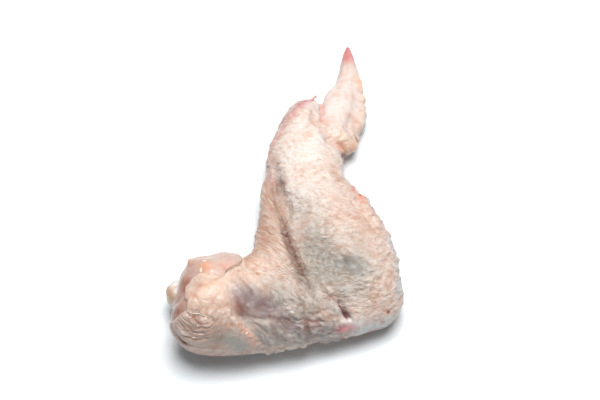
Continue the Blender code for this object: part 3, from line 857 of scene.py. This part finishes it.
def wrinkled(obj, points, normals):
    """The height of the skin's plain relief. It also stores what the skin's material reads."""
    forearm, web, drumette, shoulder, hand = skin_regions(points)
    height = hand * 0.2 * mounds(points, np.array([3.5, 8.0, 3.5]), 41)
    folds = hand[:, None] * points / 4.0
    shares = (forearm, web, drumette, shoulder)
    reliefs = (forearm_height, web_height, drumette_height, shoulder_height)
    for share, relief in zip(shares, reliefs):
        rise, place = relief(points)
        height += share * rise
        folds += share[:, None] * place

    flat = flat_share(points)
    fat_pad = shoulder * (1 - step(-points[:, 1], 61.0, 64.0))
    smooth = np.max([near(points, line, width) for line, width in SMOOTH_PLACES], axis=0)
    height *= (1 - flat) * (1 - 0.5 * step(-normals[:, 2], 0.0, 0.6))
    height = RELIEF_LEVEL + (height - RELIEF_LEVEL) * (1 - 0.85 * smooth)
    clear = step(np.max([forearm, web, drumette, shoulder, hand], axis=0), 0.95, 0.998)
    rough = (1 - flat) * (1 - 0.8 * smooth) * (1 - 0.6 * hand) * (1 - 0.5 * fat_pad)
    for line, width, change in ROUGHER:
        rough *= 1 + change * near(points, line, width)
    keep_place(obj, "folds", folds)
    keep_value(obj, "ordered", clear * (1 - fat_pad))
    keep_value(obj, "rough", rough)
    # Painted shade: how much the skin is darkened in each groove of its relief.
    keep_value(obj, "painted_groove_shade", step(RELIEF_LEVEL - height, 0.0, 0.3) * (1 - flat) * (1 - hand))
    # Painted highlight: how much each crest of the relief is whitened.
    keep_value(obj, "painted_crest_highlight", step(height - RELIEF_LEVEL, 0.1, 0.45))
    return height


def flat_share(points):
    """1 where the skin lies flat on the table, 0 above it."""
    return 1 - step(points[:, 2], 0.3, 2.5)


def make_skin():
    obj = skin_with_cut_edge()
    muscle = solid_tree("meat")
    pull(obj, SKIN_PULLS, held=over_muscle(*surface_of(obj), muscle)[1])
    soften(obj, SOFTENED, rounds=25)
    points, normals = surface_of(obj)
    distance, lining = over_muscle(points, normals, muscle)
    height = wrinkled(obj, points, normals)
    drift = np.stack([cloud(points, 4.0, seed) for seed in (61, 62, 63)], axis=1)
    for line, depth, width in CREASES:
        height -= depth * near(points + 0.9 * drift, line, width)
    for place, rise, width in SWELLINGS:
        height += rise * near(points, [place], width)
    line, depth, width = OVAL_DIMPLE
    height -= depth * near(points, line, width) * step(normals[:, 2], 0.0, 0.5)
    height -= RELIEF_LEVEL * (1 - flat_share(points))
    height = np.where(lining, 0, np.maximum(height, THINNEST_SKIN - distance))
    height *= 1 - bare_share(points)
    raise_surface(obj, height)
    apply_modifier(obj, "SMOOTH", factor=0.5, iterations=1)
    paint(obj, SKIN_BASE, SKIN_PATCHES, points)
    obj.data.materials.append(raw_skin())
    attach(obj, "root")
    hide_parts("skin")
    return obj


# The meat and the bone at the cut

# The colours, shifts and swellings of the muscle, each in the same form as the skin's
MEAT_BASE = "#D0AD9E"
MEAT_PATCHES = [
    ("#D7BEB2", [(-22, -42, 32), (-14, -37, 30)], 9.0, 0.9),
    ("#E7AB91", [(-22.0, -45.0, 32.5), (-17, -43, 32)], 2.5, 0.6),
    ("#D2A692", [(-37, -44, 27), (-30, -37, 29), (-20, -34, 27), (-10, -31, 22)], 2.6, 0.7),
    ("#E5A988", [(-31, -45, 32), (-29, -45.5, 32.5)], 2.2, 0.85),
    ("#9C5E3B", [(-37, -50, 27), (-40, -56, 25), (-41, -62, 24)], 4.5, 0.9),
    ("#8E4A3A", [(-36.5, -58, 28), (-38, -62, 27)], 2.4, 0.8),
    ("#AD7F72", [(-32, -34, 12), (-22, -31, 9)], 5.0, 0.6),
    ("#E6D3C9", [(-38, -38, 20), (-30, -32, 21), (-22, -30.5, 17), (-15, -31, 19)], 1.2, 0.6),
    ("#E3CDBF", [(-33, -34, 14), (-27, -31.5, 8), (-24, -31.5, 3)], 0.9, 0.5),
    ("#95584B", [(-15.5, -31.5, 6), (-14.5, -33, 14), (-14, -34.5, 22)], 1.8, 0.6),
    ("#C3B3B1", [(-38.5, -43.5, 26), (-41.5, -47, 22), (-43.5, -52, 20), (-44.0, -58, 19)], 1.3, 0.6),
]
MEAT_PULLS = [
    ([(-37.5, -45.0)], (1.6, -0.3, 0), 4.5),
    ([(-18.0, -36.0)], (1.5, 1.5, 1.3), 6.0),
    ([(-29.0, -38.5)], (0, -0.9, -0.7), 3.5),
]
MEAT_SWELLINGS = [
    ((-35.4, -40.8, 27.4), 1.6, 1.3),
    ((-24.0, -38.0, 31.0), 0.5, 4.0),
]


def make_meat():
    obj = copy_of_node("meat", "shoulder_meat")
    refine(obj, MEAT_VOXEL, rounds=12)
    pull(obj, MEAT_PULLS)
    points, normals = surface_of(obj)
    height = 0.5 * cloud(points, 7.0, 21) + 0.12 * mounds(points, np.array([3.0, 3.0, 3.0]), 22)
    bundles = mounds(points + 1.2 * cloud(points, 6.0, 24)[:, None], np.array([12.0, 4.5, 3.2]), 23)
    height += 0.45 * bundles * step(normals[:, 1], 0.0, 0.6)
    for place, rise, width in MEAT_SWELLINGS:
        height += rise * near(points, [place], width)
    raise_surface(obj, height)
    paint(obj, MEAT_BASE, MEAT_PATCHES, points)
    obj.data.materials.append(raw_muscle())
    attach(obj, "root")
    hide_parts("meat")
    return obj


BONE_BASE = "#E9DACA"
BONE_PATCHES = [
    ("#C39B80", [(-45.3, -47.5, 11.0), (-43.5, -50.0, 9.0)], 2.4, 0.7),
    ("#D9A99A", [(-42.0, -43.0, 13.0), (-43.5, -43.0, 8.0)], 1.6, 0.5),
    ("#CFAF95", [(-44.0, -44.0, 9.0), (-42.0, -40.0, 12.0)], 3.0, 0.6),
    ("#BA9175", [(-44.6, -45.6, 15.2), (-44.0, -47.4, 15.6), (-43.2, -49.6, 15.2)], 1.8, 0.85),
    ("#F8EEEA", [(-41.8, -44.2, 17.0), (-40.4, -45.0, 17.6), (-40.8, -47.0, 17.6)], 1.5, 0.9),
]


def make_bone():
    obj = copy_of_node("bone", "arm_bone")
    refine(obj, BONE_VOXEL, rounds=4)
    points, _ = surface_of(obj)
    raise_surface(obj, 0.4 * cloud(points, 3.5, 30) + 0.22 * mounds(points, 2.2, 31))
    paint(obj, BONE_BASE, BONE_PATCHES, points)
    obj.data.materials.append(wet_cartilage())
    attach(obj, "root")
    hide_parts("bone")


# Threads of sinew on the skin: points in millimetres, and the radius in the middle and at the ends.
THREADS = [
    ([(-36.0, -63.7, 31.7), (-33.9, -64.7, 31.7), (-31.4, -64.8, 31.7), (-29.7, -65.3, 31.2),
      (-26.6, -66.6, 30.5)], 0.22, 0.1),
    ([(18.7, -55.9, 23.2), (21.3, -55.9, 22.8), (24.3, -57.4, 22.1), (27.3, -57.1, 22.3),
      (30.0, -56.3, 21.7), (34.4, -55.7, 20.9)], 0.11, 0.05),
    ([(16.5, -53.9, 24.2), (18.9, -55.6, 23.4), (19.6, -58.6, 21.9), (21.2, -61.3, 20.2)], 0.1, 0.05),
    ([(4.6, -36.1, 21.8), (7.1, -38.5, 23.4), (9.4, -40.5, 24.5), (12.6, -41.2, 25.3)], 0.11, 0.05),
]
PIN_FEATHER = [(9.9, 38.8, 13.6), (11.0, 39.6, 14.0), (12.3, 40.0, 14.9)]
FAT_BASE = "#F1E0CF"

# Half the length, width and thickness of a bit of fat that is 1 millimetre long
FAT_BIT_FORM = np.array([0.55, 0.28, 0.2])

# Bits of fat on the muscle and the shoulder: a place, and the bit's length in millimetres.
FAT_BITS = [
    ((-30.4, -42.2, 32.0), 1.6),
    ((-28.7, -41.1, 31.2), 1.3),
    ((-31.4, -46.6, 32.6), 1.8),
    ((-33.8, -71.0, 24.5), 0.9),
    ((-34.8, -65.8, 30.8), 0.9),
    ((-14.0, -69.8, 25.6), 1.1),
    ((-24.0, -31.0, 5.0), 1.8),
]


def wet_fat():
    """Bits and threads of fat and sinew: cream to pale yellow, wet and translucent."""
    material, tree, shader = new_material("wet_fat")
    blotch = mottled(tree, object_place(tree), 0.9)
    fat = stored(tree, "tint", "Color")
    fat = tinted(tree, fat, colour("#E3C6AE"), ranged(tree, blotch, 0.45, 0.65, 0.0, 0.6))
    tree.links.new(fat, shader.inputs["Base Color"])
    shader.inputs["Roughness"].default_value = 0.3
    make_fleshy(shader, 0.3, (1.0, 0.7, 0.4), 1.0, coat=0.0, coat_roughness=0.03)
    shader.inputs["IOR"].default_value = 1.45
    return material


def strand(line, middle, end):
    """A round strand through points in millimetres, with its radius in the middle and at its ends."""
    curve = bpy.data.curves.new("strand", "CURVE")
    curve.dimensions = "3D"
    curve.bevel_depth = MM
    curve.bevel_resolution = 2
    curve.use_fill_caps = True
    spline = curve.splines.new("NURBS")
    spline.points.add(len(line) - 1)
    for index, place in enumerate(line):
        share = abs(2 * index / (len(line) - 1) - 1)
        spline.points[index].co = (*(MM * value for value in place), 1.0)
        spline.points[index].radius = middle + (end - middle) * share
    spline.use_endpoint_u = True
    spline.order_u = min(4, len(line))
    spline.resolution_u = 6
    obj = bpy.data.objects.new("strand", curve)
    bpy.context.scene.collection.objects.link(obj)
    make_active(obj)
    bpy.ops.object.convert(target="MESH")
    return bpy.context.object


def fatty_piece(parts, name, material, patches=()):
    """All the parts as one smooth piece, with the colour of fat and patches over it."""
    obj = parts[0]
    for part in parts[1:]:
        merge_into(obj, part)
    obj.name = name
    paint(obj, FAT_BASE, patches, surface_of(obj)[0])
    obj.data.shade_smooth()
    obj.data.materials.clear()
    obj.data.materials.append(material)
    return obj


def make_threads(skin):
    """Thin strands of sinew that lie on the skin, and the pin feather at the wrist."""
    tree = piece_tree(skin)
    parts = []
    for line, middle, end in THREADS:
        laid = []
        for start, stop in zip(line[:-1], line[1:]):
            for share in (0.0, 0.5):
                place = np.array(start) + share * (np.array(stop) - np.array(start))
                found, normal, _, _ = tree.find_nearest(Vector(place))
                laid.append(found + normal * SMALL_LIFT)
        found, normal, _, _ = tree.find_nearest(Vector(line[-1]))
        laid.append(found - normal * THREAD_SINK)
        parts.append(strand(laid, middle, end))
    root, _, _, _ = tree.find_nearest(Vector(PIN_FEATHER[0]))
    shift = root - Vector(PIN_FEATHER[0])
    feather = [Vector(place) + shift for place in PIN_FEATHER]
    parts.append(strand(feather, *FEATHER_RADII))
    obj = fatty_piece(parts, "sinew_threads", wet_fat(), [("#E0A09C", feather, 1.8, 1.0)])
    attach(obj, "root")


def make_fat_bits(skin, meat):
    """Small lumps of fat, half sunk into what they lie on."""
    trees = [piece_tree(skin), piece_tree(meat)]
    parts = []
    for index, (place, length) in enumerate(FAT_BITS):
        hits = [tree.find_nearest(Vector(place)) for tree in trees]
        found, normal, _, _ = min(hits, key=lambda hit: hit[3])
        bpy.ops.object.select_all(action="DESELECT")
        bpy.ops.mesh.primitive_ico_sphere_add(subdivisions=4, radius=1.0, location=(0, 0, 0))
        part = bpy.context.object
        points = np.array([vertex.co for vertex in part.data.vertices])
        points *= 1 + 0.35 * cloud(points, 0.9, 60 + index)[:, None]
        points *= FAT_BIT_FORM * length
        turned = normal.to_track_quat("Z", "Y").to_matrix()
        move_points(part, points @ np.array(turned).T + np.array(found + normal * SMALL_LIFT))
        parts.append(part)
    obj = fatty_piece(parts, "fat_bits", bpy.data.materials["wet_fat"])
    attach(obj, "root")


# The stage

def make_stage():
    """A pale table, a soft light overhead, and a camera where the photographer stood."""
    bpy.ops.object.select_all(action="DESELECT")
    bpy.ops.mesh.primitive_plane_add(size=TABLE_WIDTH, location=(0, 0, 0))
    table = bpy.context.object
    table.name = "table_top"
    material, _, shader = new_material("pale_table")
    shader.inputs["Base Color"].default_value = colour("#EEF2F5")
    shader.inputs["Roughness"].default_value = 0.6
    # The table glows faintly in a cool blue-white, which lightens its shadows and keeps them grey beside the
    # pink wing.
    shader.inputs["Emission Color"].default_value = colour("#D8F4FF")
    shader.inputs["Emission Strength"].default_value = 0.035
    table.data.materials.append(material)

    world = bpy.data.worlds.new("studio")
    world.use_nodes = True
    background = world.node_tree.nodes["Background"]
    background.inputs["Color"].default_value = FILL_COLOUR
    background.inputs["Strength"].default_value = FILL_STRENGTH
    bpy.context.scene.world = world
    bpy.context.scene.view_settings.view_transform = "Standard"

    add_light("soft_key", LIGHT_PLACE, LIGHT_WIDTH, LIGHT_POWER)
    add_camera()


def add_light(name, place, size, power):
    """A square soft light at a place in metres, turned towards the wing."""
    lamp = bpy.data.lights.new(name, "AREA")
    lamp.size = size
    lamp.energy = power
    obj = bpy.data.objects.new(name, lamp)
    obj.location = place
    obj.rotation_euler = (-Vector(place)).to_track_quat("-Z", "Y").to_euler()
    bpy.context.scene.collection.objects.link(obj)


def add_camera():
    """A camera whose picture has the photo's scale at the wing."""
    lens = bpy.data.cameras.new("camera")
    lens.sensor_width = 36.0
    lens.lens = lens.sensor_width * CAMERA_DISTANCE * PIXELS_PER_MM / IMAGE_WIDTH
    camera = bpy.data.objects.new("camera", lens)
    camera.location = (Vector(CAMERA_TARGET) + Vector(TO_CAMERA) * CAMERA_DISTANCE) * MM
    camera.rotation_euler = (math.pi / 2 - CAMERA_ELEVATION, 0, 0)
    bpy.context.scene.collection.objects.link(camera)
    bpy.context.scene.camera = camera


wing_skin = make_skin()
shoulder_meat = make_meat()
make_bone()
make_threads(wing_skin)
make_fat_bits(wing_skin, shoulder_meat)
make_stage()
